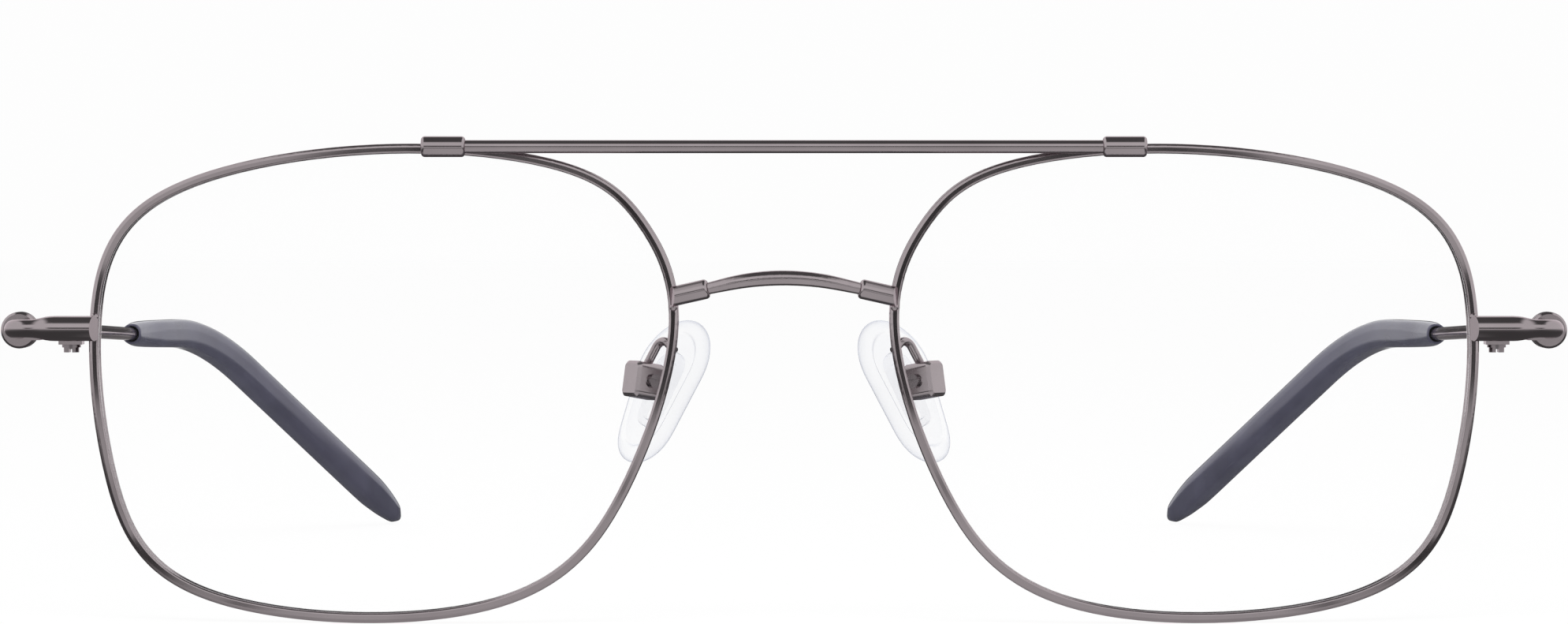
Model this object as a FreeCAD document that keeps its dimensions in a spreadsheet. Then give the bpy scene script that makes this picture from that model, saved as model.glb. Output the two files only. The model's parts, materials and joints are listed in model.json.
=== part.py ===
import FreeCAD, Part
import math
import os

import Sketcher

from FreeCAD import Placement, Rotation, Vector

# Double bridge glasses. X points to the wearer's left, Y from the lenses back to the temple tips,
# Z up from the table that the rims and the temple tips stand on.
# Lengths are millimetres and angles are degrees.

SIZES = [
    ("lens_width", 53.2, "lens, side to side"),
    ("lens_height", 42.75, "lens, top to bottom"),
    ("bridge_width", 20.0, "between the two lenses"),
    ("base_radius", 131.0, "front curve of the lens"),
    ("face_form", 4.0, "turn of each lens towards the temple"),
    ("lens_thickness", 1.9, "lens, front to back"),
    ("lens_play", 0.03, "lens bevel to rim groove"),
    ("rim_width", 0.9, "rim wire seen from the front"),
    ("rim_depth", 2.0, "rim wire front to back"),
    ("rim_round", 0.35, "outer edges of the rim wire"),
    ("rim_inner_round", 0.2, "inner edges of the rim wire"),
    ("groove_depth", 0.45, "lens groove in the rim"),
    ("groove_angle", 110.0, "opening of the lens groove"),
    ("braze_gap", 0.01, "between brazed pieces"),
    ("bar_diameter", 1.2, "brow bar"),
    ("bar_rise", 0.15, "brow bar above the top of the lens"),
    ("bar_clear", 0.05, "brow bar to the front of the rim"),
    ("bar_sleeve_diameter", 1.9, "sleeve on each end of the brow bar"),
    ("bar_sleeve_length", 4.0, "sleeve on each end of the brow bar"),
    ("bar_sleeve_spacing", 61.8, "between the middles of the bar sleeves"),
    ("sleeve_wall", 0.8, "closed end of a bar sleeve or bridge sleeve"),
    ("sleeve_round", 0.35, "rounded end of a sleeve"),
    ("bridge_end_diameter", 1.05, "nose bridge in its sleeves"),
    ("bridge_middle_diameter", 1.37, "nose bridge at the middle"),
    ("bridge_slope", 12.8, "rise of the bridge from its sleeves"),
    ("bridge_lean", 8.0, "forward lean of the bridge from its sleeves"),
    ("bridge_arc", 20.0, "radius of the arch"),
    ("bridge_rise", 7.87, "bridge sleeves above the lens middle"),
    ("bridge_sleeve_diameter", 1.8, "sleeve on each end of the bridge"),
    ("bridge_sleeve_length", 3.75, "sleeve on each end of the bridge"),
    ("bridge_seat", 0.45, "bridge sleeve let in over the rim"),
    ("end_slant", 16.0, "slanting cut where the endpiece and the bridge sleeve end over the rim"),
    ("bead_diameter", 0.7, "bead of braze beside the bridge sleeve and the endpiece"),
    ("endpiece_height", 2.3, "endpiece over the rim"),
    ("endpiece_flat", 0.25, "flat cut from the back of the endpiece"),
    ("endpiece_seat", 0.3, "endpiece let in over the rim"),
    ("endpiece_rise", 4.97, "endpiece above the lens middle"),
    ("endpiece_bead", 1.05, "bead of braze above the endpiece's middle"),
    ("endpiece_bar", 3.0, "full height part beyond the rim"),
    ("endpiece_neck", 2.4, "neck between the bar and the rod"),
    ("rod_diameter", 1.65, "endpiece rod"),
    ("turn_reach", 6.9, "corner of the rod beyond the rim"),
    ("turn_radius", 1.5, "turn of the rod towards the temple"),
    ("flange_reach", 7.45, "flange middle beyond the rim"),
    ("flange_depth", 12.0, "front of the flange behind the lens apex"),
    ("flange_drop", 0.35, "flange below the endpiece bar"),
    ("flange_diameter", 3.4, "flange and temple butt"),
    ("flange_thickness", 0.9, "flange and temple butt"),
    ("flange_chamfer", 0.2, "edge of flange and temple butt"),
    ("lock_reach", 1.7, "rim lock screw beyond the rim"),
    ("lock_foot", 2.15, "width of the lock beneath the endpiece"),
    ("lock_below", 0.55, "cut of the rim lock below the endpiece middle"),
    ("lock_slit", 0.06, "cut through the rim between the lock halves"),
    ("lock_upper_height", 1.5, "upper half of the rim lock"),
    ("lock_lower_height", 0.95, "lower half of the rim lock"),
    ("lock_step", 0.45, "step up from the lock's foot to the part at the rim"),
    ("lock_screw_diameter", 1.0, "rim lock screw"),
    ("lock_collar_diameter", 1.7, "collar under the lock screw's head"),
    ("lock_collar_height", 0.25, "collar under the lock screw's head"),
    ("lock_head_diameter", 1.4, "head of the lock screw"),
    ("lock_head_height", 0.45, "head of the lock screw"),
    ("slot_width", 0.3, "screwdriver slots"),
    ("slot_depth", 0.3, "screwdriver slots"),
    ("screw_play", 0.02, "round a screw in its hole"),
    ("knuckle_diameter", 2.2, "hinge barrels"),
    ("knuckle_height", 0.5, "each outer hinge barrel"),
    ("middle_height", 0.62, "hinge barrel of the temple"),
    ("knuckle_offset", 2.35, "hinge axis inside the flange middle"),
    ("hinge_gap", 0.05, "between hinge barrels, and flange to butt"),
    ("leaf_length", 3.4, "hinge leaf along the temple"),
    ("leaf_width", 1.35, "hinge leaf from the axis outwards"),
    ("hinge_screw_diameter", 0.9, "hinge screw"),
    ("hinge_play", 0.03, "round the hinge screw in the temple barrel"),
    ("hinge_head_diameter", 1.5, "head of the hinge screw"),
    ("hinge_head_height", 0.25, "head of the hinge screw, sunk in the upper barrel"),
    ("butt_length", 7.0, "temple butt"),
    ("butt_neck", 2.0, "temple butt behind its disc"),
    ("butt_end", 1.8, "small end of the temple butt"),
    ("butt_socket", 4.0, "temple wire inside the butt"),
    ("temple_diameter", 1.4, "temple wire"),
    ("tip_play", 0.02, "temple wire in the tip"),
    ("tip_length", 72.0, "temple tip along the wire"),
    ("tip_height", 3.65, "temple tip at its tallest"),
    ("tip_thickness", 2.55, "temple tip at its thickest"),
    ("tip_mouth", 1.95, "temple tip at its mouth"),
    ("tip_hole", 1.66, "hole of the tip at its flared mouth"),
    ("tip_flare", 1.0, "depth of the flare in the tip's mouth"),
    ("tip_solid", 9.0, "tip beyond the end of the wire"),
    ("tip_round", 0.36, "corner radius of the tip as a share of its smaller side"),
    ("arm_diameter", 0.8, "nose pad arm"),
    ("arm_root", 1.4, "root of the pad arm above the pad box"),
    ("arm_loop", 2.7, "highest corner of the pad arm above the pad box"),
    ("arm_out", 1.15, "highest corner of the pad arm from the edge of the lens"),
    ("arm_back", 0.3, "highest corner of the pad arm behind its middle"),
    ("arm_bend", 1.1, "bend of the pad arm"),
    ("pad_splay", 42.0, "nose pads spread towards the face"),
    ("pad_tilt", 22.0, "nose pads lean in at the top"),
    ("pad_length", 14.0, "nose pad"),
    ("pad_top", 7.6, "width of the nose pad near the top"),
    ("pad_bottom", 4.8, "width of the nose pad near the bottom"),
    ("pad_thickness", 1.9, "nose pad"),
    ("pad_round", 1.05, "edges of the nose pad on the nose side"),
    ("pad_front_round", 0.55, "edges of the nose pad on the box side"),
    ("pad_offset", 3.0, "pad screw to the middle of the pad"),
    ("pad_raise", 0.4, "middle of the pad above the pad screw"),
    ("pad_shift", 0.6, "middle of the pad behind the pad screw"),
    ("core_length", 7.6, "stiff core in the nose pad"),
    ("core_top", 3.6, "width of the stiff core near the top"),
    ("core_bottom", 2.9, "width of the stiff core near the bottom"),
    ("core_thickness", 0.6, "stiff core in the nose pad"),
    ("core_hole", 1.6, "holes through the stiff core above and below its lug"),
    ("core_play", 0.02, "nose pad round its core"),
    ("lug_width", 1.2, "lug of the core in the pad box"),
    ("lug_height", 1.0, "lug of the core in the pad box"),
    ("lug_gap", 0.06, "lug to each side of the pad box"),
    ("box_tilt", 7.0, "pad box leans in at the top"),
    ("box_width", 2.4, "pad box across the lug"),
    ("box_height", 3.3, "pad box"),
    ("box_length", 2.9, "pad box towards the pad"),
    ("box_room", 2.4, "height of the hollow in the pad box"),
    ("box_back", 0.6, "back wall of the pad box"),
    ("box_round", 0.55, "long edges of the pad box"),
    ("box_bevel", 0.3, "bevel round the closed end of the pad box"),
    ("box_pivot", 0.35, "pad screw from the middle of the box"),
    ("box_inside", 3.0, "pad box from the edge of the lens"),
    ("box_behind", 5.2, "pad box behind the lens apex"),
    ("box_above", 0.22, "pad box above the lens middle"),
    ("pad_screw_diameter", 0.7, "pad screw"),
    ("pad_head_diameter", 1.3, "head of the pad screw"),
    ("pad_head_height", 0.3, "head of the pad screw"),
]

# Shape of the lens as shares of half its width and height, from the temple side round over the top.
LENS_POLES = [
    (1.03, 0.37), (0.86, 0.85), (0.0, 1.04), (-0.71, 0.94), (-0.9, 0.71),
    (-1.07, 0.31), (-0.86, -0.49), (-0.52, -1.05), (0.75, -1.0), (0.96, -0.48),
]

# Corners of the temple wire's middle line: how far inwards and back from the front of the temple butt,
# the height as a share of the hinge's height, and the radius of the bend.
TEMPLE_CORNERS = [
    (0.0, 8.4, 1.0, 60.0), (0.85, 73.0, 0.9155, 38.0), (5.92, 94.5, 0.9, 36.0), (24.8, 132.6, 0.0263, 0.0),
]

# Height and thickness of the temple tip as shares of its full size, at shares of its length.
TIP_STATIONS = [
    (0.02, 0.72, 0.86), (0.06, 0.78, 0.94), (0.12, 0.81, 0.96), (0.3, 0.9, 0.98), (0.4, 0.93, 1.0),
    (0.5, 0.905, 1.0), (0.7, 0.925, 1.0), (0.88, 1.0, 0.98), (0.95, 0.93, 0.9), (0.985, 0.72, 0.7),
    (1.0, 0.4, 0.4),
]

RIGHT = Vector(1, 0, 0)
BACK = Vector(0, 1, 0)
UP = Vector(0, 0, 1)

os.makedirs("parts", exist_ok=True)
doc = FreeCAD.newDocument("glasses")
sheet = doc.addObject("Spreadsheet::Sheet", "size")
nodes = {}


def fill_sheet():
    for row, (alias, value, note) in enumerate(SIZES, start=1):
        sheet.set("A%d" % row, note)
        sheet.set("B%d" % row, str(value))
        sheet.setAlias("B%d" % row, alias)
    doc.recompute()


def size(name):
    return float(sheet.get(name))


# Sketches and features of one body

def new_body(name):
    return doc.addObject("PartDesign::Body", name)


def new_sketch(body, name, role):
    sketch = body.newObject("Sketcher::SketchObject", name)
    plane = [item for item in body.Origin.OriginFeatures if item.Role == role][0]
    sketch.AttachmentSupport = [(plane, "")]
    sketch.MapMode = "FlatFace"
    return sketch


def circle_sketch(body, name, role, diameter):
    sketch = new_sketch(body, name, role)
    sketch.addGeometry(Part.Circle(Vector(0, 0, 0), UP, 1.0))
    sketch.addConstraint(Sketcher.Constraint("Coincident", 0, 3, -1, 1))
    row = sketch.addConstraint(Sketcher.Constraint("Diameter", 0, 2.0))
    sketch.setExpression("Constraints[%d]" % row, diameter)
    return sketch


def corner_sketch(body, name, role, corners):
    """Closed outline whose corners are pairs of expressions, across and up."""
    sketch = new_sketch(body, name, role)
    count = len(corners)
    turns = [2 * math.pi * index / count for index in range(count)]
    ring = [Vector(math.cos(turn), math.sin(turn), 0) for turn in turns]
    for index in range(count):
        sketch.addGeometry(Part.LineSegment(ring[index], ring[(index + 1) % count]))
    for index in range(count):
        sketch.addConstraint(Sketcher.Constraint("Coincident", index, 2, (index + 1) % count, 1))
    for index, corner in enumerate(corners):
        for kind, expression in zip(("DistanceX", "DistanceY"), corner):
            row = sketch.addConstraint(Sketcher.Constraint(kind, -1, 1, index, 1, 1.0))
            sketch.setExpression("Constraints[%d]" % row, expression)
    return sketch


def block_corners(left, right, low, high):
    return [(left, low), (right, low), (right, high), (left, high)]


def pad(body, name, sketch, length):
    """Extrudes a sketch by the same length on both sides of its plane."""
    feature = body.newObject("PartDesign::Pad", name)
    feature.Profile = sketch
    feature.SideType = "Symmetric"
    feature.setExpression("Length", length)
    return feature


def pocket_through(body, name, sketch):
    feature = body.newObject("PartDesign::Pocket", name)
    feature.Profile = sketch
    feature.Type = "ThroughAll"
    feature.SideType = "Symmetric"
    return feature


def turn(body, name, sketch):
    """Revolves a sketch about its upright axis."""
    feature = body.newObject("PartDesign::Revolution", name)
    feature.Profile = sketch
    feature.ReferenceAxis = (sketch, ["V_Axis"])
    feature.Angle = 360
    return feature


def dress(body, name, kind, base, edges, amount):
    """Adds a fillet or a chamfer to edges of the feature before it."""
    doc.recompute()
    feature = body.newObject("PartDesign::" + kind, name)
    feature.Base = (base, edges)
    feature.setExpression("Radius" if kind == "Fillet" else "Size", amount)
    return feature


def edges_where(feature, test):
    doc.recompute()
    return ["Edge%d" % number for number, edge in enumerate(feature.Shape.Edges, start=1) if test(edge)]


def round_edges(feature):
    return edges_where(feature, lambda edge: edge.Curve.TypeId == "Part::GeomCircle")


# Primitives and booleans

def cylinder(name, diameter, length, base, axis=UP):
    item = doc.addObject("Part::Cylinder", name)
    item.setExpression("Radius", "(%s) / 2" % diameter)
    item.setExpression("Height", length)
    item.Placement = Placement(base, Rotation(UP, axis))
    return item


def box(name, length, width, height, corner):
    item = doc.addObject("Part::Box", name)
    item.setExpression("Length", length)
    item.setExpression("Width", width)
    item.setExpression("Height", height)
    item.Placement = Placement(corner, Rotation())
    return item


def shape_item(name, shape):
    item = doc.addObject("Part::Feature", name)
    item.Shape = shape
    return item


def fuse(name, items):
    result = doc.addObject("Part::MultiFuse", name)
    result.Shapes = items
    return result


def cut(name, base, tools):
    """Cuts the tools from the base, one after another."""
    for number, tool in enumerate(tools, start=1):
        last = number == len(tools)
        result = doc.addObject("Part::Cut", name if last else "%s_cut_%d" % (name, number))
        result.Base = base
        result.Tool = tool
        base = result
    return base


def node(item, label):
    item.Label = label
    nodes[label] = item


# Curves and sweeps

def filleted_wire(points, radii, closed=False):
    """Straight runs through the points, with a tangent arc of the given radius at each corner."""
    count = len(points)
    corners = []
    for index, point in enumerate(points):
        if radii[index] == 0:
            corners.append((point, None, point))
            continue
        before = (points[index - 1] - point).normalize()
        after = (points[(index + 1) % count] - point).normalize()
        half = before.getAngle(after) / 2
        reach = radii[index] / math.tan(half)
        centre = point + (before + after).normalize() * (radii[index] / math.sin(half))
        middle = centre + (point - centre).normalize() * radii[index]
        corners.append((point + before * reach, middle, point + after * reach))
    edges = []
    for index in range(count if closed else count - 1):
        leave = corners[index][2]
        arrive, middle, past = corners[(index + 1) % count]
        edges.append(Part.LineSegment(leave, arrive).toShape())
        if middle is not None:
            edges.append(Part.Arc(arrive, middle, past).toShape())
    return Part.Wire(edges)


def rod(route, diameter):
    """Round rod along a route, square at both ends."""
    first = route.Edges[0]
    start = first.valueAt(first.FirstParameter)
    along = first.tangentAt(first.FirstParameter)
    section = Part.Wire(Part.makeCircle(diameter / 2, start, along))
    return route.makePipeShell([section], True, False)


def point_along(route, distance):
    """Point and direction at a distance along a route."""
    for edge in route.Edges:
        if distance <= edge.Length or edge.isSame(route.Edges[-1]):
            place = edge.getParameterByLength(min(distance, edge.Length))
            return edge.valueAt(place), edge.tangentAt(place)
        distance -= edge.Length


fill_sheet()

# Places worked out from the sizes

LENS_X = (size("bridge_width") + size("lens_width")) / 2
RIM_OUT = size("rim_width") - size("groove_depth")
LENS_Z = RIM_OUT + size("lens_height") / 2
LENS_TOP = LENS_Z + size("lens_height") / 2
RIM_SIDE = LENS_X + size("lens_width") / 2 + RIM_OUT
POLE_X = LENS_X - size("base_radius") * math.sin(math.radians(size("face_form")))
POLE_Y = size("base_radius") + (size("rim_depth") - size("lens_thickness")) / 2
EDGE_RADIUS = size("base_radius") - size("lens_thickness") / 2


def edge_depth(x, z):
    """Depth of the middle of the lens at a place on it."""
    aside = math.hypot(x - POLE_X, z - LENS_Z)
    return POLE_Y - math.sqrt(EDGE_RADIUS ** 2 - aside ** 2)


def rim_front(x, z):
    return edge_depth(x, z) - size("rim_depth") / 2


def lens_outline():
    """Lens outline in the XZ plane, a closed cubic curve scaled to the lens width and height."""
    curve = Part.BSplineCurve()
    poles = [Vector(x, 0, z) for x, z in LENS_POLES]
    knots = list(range(len(poles) + 1))
    curve.buildFromPolesMultsKnots(poles, [1] * len(knots), knots, True, 3)
    points = [curve.value(len(poles) * step / 720) for step in range(720)]
    wide = [min(point.x for point in points), max(point.x for point in points)]
    tall = [min(point.z for point in points), max(point.z for point in points)]
    across = size("lens_width") / (wide[1] - wide[0])
    upright = size("lens_height") / (tall[1] - tall[0])
    for number, pole in enumerate(poles, start=1):
        x = LENS_X + (pole.x - sum(wide) / 2) * across
        z = LENS_Z + (pole.z - sum(tall) / 2) * upright
        curve.setPole(number, Vector(x, 0, z))
    return curve


OUTLINE = lens_outline()
LOCK_Z = LENS_Z + size("endpiece_rise") - size("lock_below")


def outline_place(z, way):
    """Place on the lens outline at a height, on the temple side (way 1) or the nose side (way -1)."""
    level = Part.LineSegment(Vector(LENS_X, 0, z), Vector(LENS_X + way * size("lens_width"), 0, z))
    found = OUTLINE.intersectCC(level)[0]
    return Vector(found.X, found.Y, found.Z)


def lens_edge():
    """The outline laid on the middle sphere of the lens, from the rim lock all the way round."""
    first = OUTLINE.parameter(outline_place(LOCK_Z, 1))
    count = 4 * len(LENS_POLES)
    points = []
    for step in range(count):
        flat = OUTLINE.value((first + len(LENS_POLES) * step / count) % len(LENS_POLES))
        points.append(Vector(flat.x, edge_depth(flat.x, flat.z), flat.z))
    curve = Part.BSplineCurve()
    curve.interpolate(Points=points, PeriodicFlag=True)
    return curve


EDGE = lens_edge()


def ring(corners, radii, slit=0):
    """Sweeps a section round the lens. Its corners are distances out from the lens edge and back."""
    trim = EDGE.parameterAtDistance(slit / 2, EDGE.FirstParameter)
    start = EDGE.value(trim)
    along = EDGE.tangent(trim)[0]
    out = Vector(along.z, 0, -along.x).normalize()
    if out.dot(start - Vector(LENS_X, 0, LENS_Z)) < 0:
        out = out * -1
    points = [start + out * away + BACK * behind for away, behind in corners]
    path = EDGE.toShape(trim, EDGE.LastParameter - trim + EDGE.FirstParameter) if slit else EDGE.toShape()
    sweep = Part.BRepOffsetAPI.MakePipeShell(Part.Wire(path))
    sweep.setBiNormalMode(BACK)
    sweep.add(filleted_wire(points, radii, closed=True), False, False)
    sweep.build()
    sweep.makeSolid()
    return sweep.shape()


def rim_section(grow, grooved):
    """Rim wire section, grown all round, with or without its groove."""
    half = size("rim_depth") / 2 + grow
    outer = RIM_OUT + grow
    inner = -size("groove_depth") - grow
    corners = [(inner, -half), (outer, -half), (outer, half), (inner, half)]
    radii = [size("rim_inner_round"), size("rim_round"), size("rim_round"), size("rim_inner_round")]
    if grooved:
        mouth = size("groove_depth") * math.tan(math.radians(size("groove_angle") / 2))
        corners += [(inner, mouth), (0, 0), (inner, -mouth)]
        radii += [0, 0, 0]
    return corners, radii


RIM_SEAT = shape_item("rim_seat", ring(*rim_section(size("braze_gap"), False)))
LOCK_X = RIM_SIDE + size("lock_reach")
SEAT_Y = rim_front(RIM_SIDE - size("rim_width"), LOCK_Z) + size("endpiece_seat")
RIM_BACK_Y = SEAT_Y - size("endpiece_seat") + size("rim_depth")


def make_rim():
    node(shape_item("rim", ring(*rim_section(0, True), slit=size("lock_slit"))), "rim_left")


def make_lens():
    face = Part.Face(Part.Wire(OUTLINE.toShape()))
    face.translate(BACK * -size("base_radius") / 4)
    prism = face.extrude(BACK * size("base_radius") / 2)
    pole = Vector(POLE_X, POLE_Y, LENS_Z)
    front = Part.makeSphere(size("base_radius"), pole)
    back = Part.makeSphere(size("base_radius") - size("lens_thickness"), pole)
    blank = prism.common(front).cut(back)
    play = size("lens_play")
    inner = -size("groove_depth") - play
    mouth = size("groove_depth") * math.tan(math.radians(size("groove_angle") / 2))
    deep = size("lens_thickness")
    corners = [(inner, -deep), (RIM_OUT, -deep), (RIM_OUT, deep), (inner, deep)]
    corners += [(inner, mouth), (-play, 0), (inner, -mouth)]
    lens = blank.cut(ring(corners, [0] * len(corners)))
    node(shape_item("lens", lens), "lens_left")


def slant_room(name, place, way):
    """Box beyond a slanting upright face through the place, on its outer side (way 1) or inner side."""
    item = box(name, "3 * size.endpiece_height", "3 * size.endpiece_height", "3 * size.endpiece_height",
               Vector(0, 0, 0))
    reach = 3 * size("endpiece_height")
    corner = Vector(0 if way > 0 else -reach, -reach / 2, -reach / 2)
    item.Placement = Placement(place, Rotation(UP, -way * size("end_slant"))).multiply(
        Placement(corner, Rotation()))
    return item


def braze_bead(name, z, way):
    """Small ball on the front of the rim wire at a height, on the temple side (way 1) or the nose side."""
    edge = outline_place(z, way)
    x = edge.x + way * (RIM_OUT - size("rim_width") / 2)
    item = doc.addObject("Part::Sphere", name)
    item.setExpression("Radius", "size.bead_diameter / 2")
    item.Placement.Base = Vector(x, rim_front(x, z), z)
    return item


BAR_X = size("bar_sleeve_spacing") / 2
BAR_Z = LENS_TOP + size("bar_rise")
BAR_Y = rim_front(POLE_X, LENS_TOP) - size("bar_diameter") / 2 - size("bar_clear")


def make_brow_bar():
    body = new_body("brow_bar")
    section = circle_sketch(body, "bar_section", "YZ_Plane", "size.bar_diameter")
    length = "size.bar_sleeve_spacing + size.bar_sleeve_length - 2 * (size.sleeve_wall + size.braze_gap)"
    pad(body, "bar", section, length)
    body.Placement.Base = Vector(0, BAR_Y, BAR_Z)
    node(body, "brow_bar")


def make_bar_sleeve():
    body = new_body("bar_tube")
    section = circle_sketch(body, "bar_tube_section", "YZ_Plane", "size.bar_sleeve_diameter")
    tube = pad(body, "bar_tube_pad", section, "size.bar_sleeve_length")
    dress(body, "bar_tube_round", "Fillet", tube, round_edges(tube), "size.sleeve_round")
    body.Placement.Base = Vector(BAR_X, BAR_Y, BAR_Z)
    start = Vector(BAR_X - size("bar_sleeve_length"), BAR_Y, BAR_Z)
    depth = "1.5 * size.bar_sleeve_length - size.sleeve_wall"
    bore = cylinder("bar_bore", "size.bar_diameter + 2 * size.braze_gap", depth, start, RIGHT)
    node(cut("bar_sleeve", body, [bore, RIM_SEAT]), "bar_sleeve_left")


BRIDGE_SLEEVE_X = size("bridge_width") / 2 + size("groove_depth")
BRIDGE_SLEEVE_Z = LENS_Z + size("bridge_rise")
BRIDGE_SLEEVE_Y = (rim_front(size("bridge_width") / 2, BRIDGE_SLEEVE_Z) + size("bridge_seat")
                   - size("bridge_sleeve_diameter") / 2)
BRIDGE_START = Vector(BRIDGE_SLEEVE_X, BRIDGE_SLEEVE_Y, BRIDGE_SLEEVE_Z)
BRIDGE_RUN = Vector(-1, -math.tan(math.radians(size("bridge_lean"))),
                    math.tan(math.radians(size("bridge_slope")))).normalize()


def make_bridge():
    """Arched rod, thin in its sleeves and thick at the middle."""
    inside = BRIDGE_START + BRIDGE_RUN * (size("bridge_sleeve_length") - size("sleeve_round"))
    start = BRIDGE_START + BRIDGE_RUN * size("sleeve_wall")
    crown = BRIDGE_START + BRIDGE_RUN * (BRIDGE_START.x / -BRIDGE_RUN.x)
    far = Vector(-inside.x, inside.y, inside.z)
    route = filleted_wire([inside, crown, far], [0, size("bridge_arc"), 0])
    middle = point_along(route, route.Length / 2)
    end_run = Vector(BRIDGE_RUN.x, -BRIDGE_RUN.y, -BRIDGE_RUN.z)
    places = [(inside, BRIDGE_RUN, "bridge_end_diameter"), (middle[0], middle[1], "bridge_middle_diameter"),
              (far, end_run, "bridge_end_diameter")]
    sections = [Part.Wire(Part.makeCircle(size(name) / 2, place, along)) for place, along, name in places]
    arch = route.makePipeShell(sections, True, False)
    length = (inside - start).Length
    ends = [Part.makeCylinder(size("bridge_end_diameter") / 2, length, inside, BRIDGE_RUN * -1),
            Part.makeCylinder(size("bridge_end_diameter") / 2, length, far, end_run)]
    node(shape_item("bridge", arch.fuse(ends).removeSplitter()), "bridge")


def make_bridge_sleeve():
    tube = cylinder("bridge_tube", "size.bridge_sleeve_diameter", "size.bridge_sleeve_length",
                    BRIDGE_START, BRIDGE_RUN)
    doc.recompute()
    rounded = doc.addObject("Part::Fillet", "bridge_tube_round")
    rounded.Base = tube
    rounded.Edges = [(3, size("sleeve_round"), size("sleeve_round"))]
    start = BRIDGE_START + BRIDGE_RUN * (size("sleeve_wall") - size("braze_gap"))
    bore = cylinder("bridge_bore", "size.bridge_end_diameter + 2 * size.braze_gap",
                    "size.bridge_sleeve_length", start, BRIDGE_RUN)
    back = BRIDGE_START + BACK * (size("bridge_sleeve_diameter") / 2)
    bead = braze_bead("bridge_bead", BRIDGE_SLEEVE_Z - size("bridge_sleeve_diameter") / 2, -1)
    ended = cut("bridge_sleeve_end", rounded, [slant_room("bridge_slant", back, 1)])
    blank = fuse("bridge_sleeve_blank", [ended, bead])
    node(cut("bridge_sleeve", blank, [bore, RIM_SEAT]), "bridge_sleeve_left")


END_Y = SEAT_Y + size("endpiece_flat") - size("endpiece_height") / 2
END_Z = LENS_Z + size("endpiece_rise")
FLANGE = Vector(RIM_SIDE + size("flange_reach"), size("flange_depth"), END_Z - size("flange_drop"))


def make_endpiece():
    """Round bar over the rim that necks down to a rod and turns back to the flange."""
    start = Vector(RIM_SIDE - size("rim_width"), END_Y, END_Z)
    shoulder = Vector(RIM_SIDE + size("endpiece_bar"), END_Y, END_Z)
    neck = shoulder + RIGHT * size("endpiece_neck")
    corner = Vector(RIM_SIDE + size("turn_reach"), END_Y, END_Z)
    wide = size("endpiece_height") / 2
    thin = size("rod_diameter") / 2
    bend = (size("endpiece_neck") ** 2 + (wide - thin) ** 2) / (4 * (wide - thin))
    half = size("endpiece_neck") / 2
    swell = bend - math.sqrt(bend ** 2 - (half / 2) ** 2)
    middle = shoulder + RIGHT * half + UP * (wide + thin) / 2
    outline = [
        Part.LineSegment(start, start + UP * wide),
        Part.LineSegment(start + UP * wide, shoulder + UP * wide),
        Part.Arc(shoulder + UP * wide, shoulder + RIGHT * half / 2 + UP * (wide - swell), middle),
        Part.Arc(middle, neck - RIGHT * half / 2 + UP * (thin + swell), neck + UP * thin),
        Part.LineSegment(neck + UP * thin, neck),
        Part.LineSegment(neck, start),
    ]
    bar = Part.Face(Part.Wire([item.toShape() for item in outline])).revolve(start, RIGHT, 360)
    beyond = FLANGE + (FLANGE - corner).normalize() * size("flange_thickness")
    route = filleted_wire([neck, corner, beyond], [0, size("turn_radius"), 0])
    blank = shape_item("endpiece_blank", bar.fuse(rod(route, size("rod_diameter"))))
    room = box("lock_room", "8 * size.rim_width", "size.endpiece_height", "2 * size.endpiece_height",
               Vector(RIM_SIDE - 3 * size("rim_width"), SEAT_Y, END_Z - size("endpiece_height")))
    behind = box("flange_room", "4 * size.flange_diameter", "size.flange_diameter",
                 "2 * size.flange_diameter",
                 FLANGE - Vector(2 * size("flange_diameter"), 0, size("flange_diameter")))
    slant = slant_room("endpiece_slant", Vector(start.x, SEAT_Y, END_Z), -1)
    ended = fuse("endpiece_beaded", [cut("endpiece_end", blank, [slant]),
                                     braze_bead("endpiece_bead", END_Z + size("endpiece_bead"), 1)])
    node(cut("endpiece", ended, [room, behind, RIM_SEAT]), "endpiece_left")
    return blank


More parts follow.
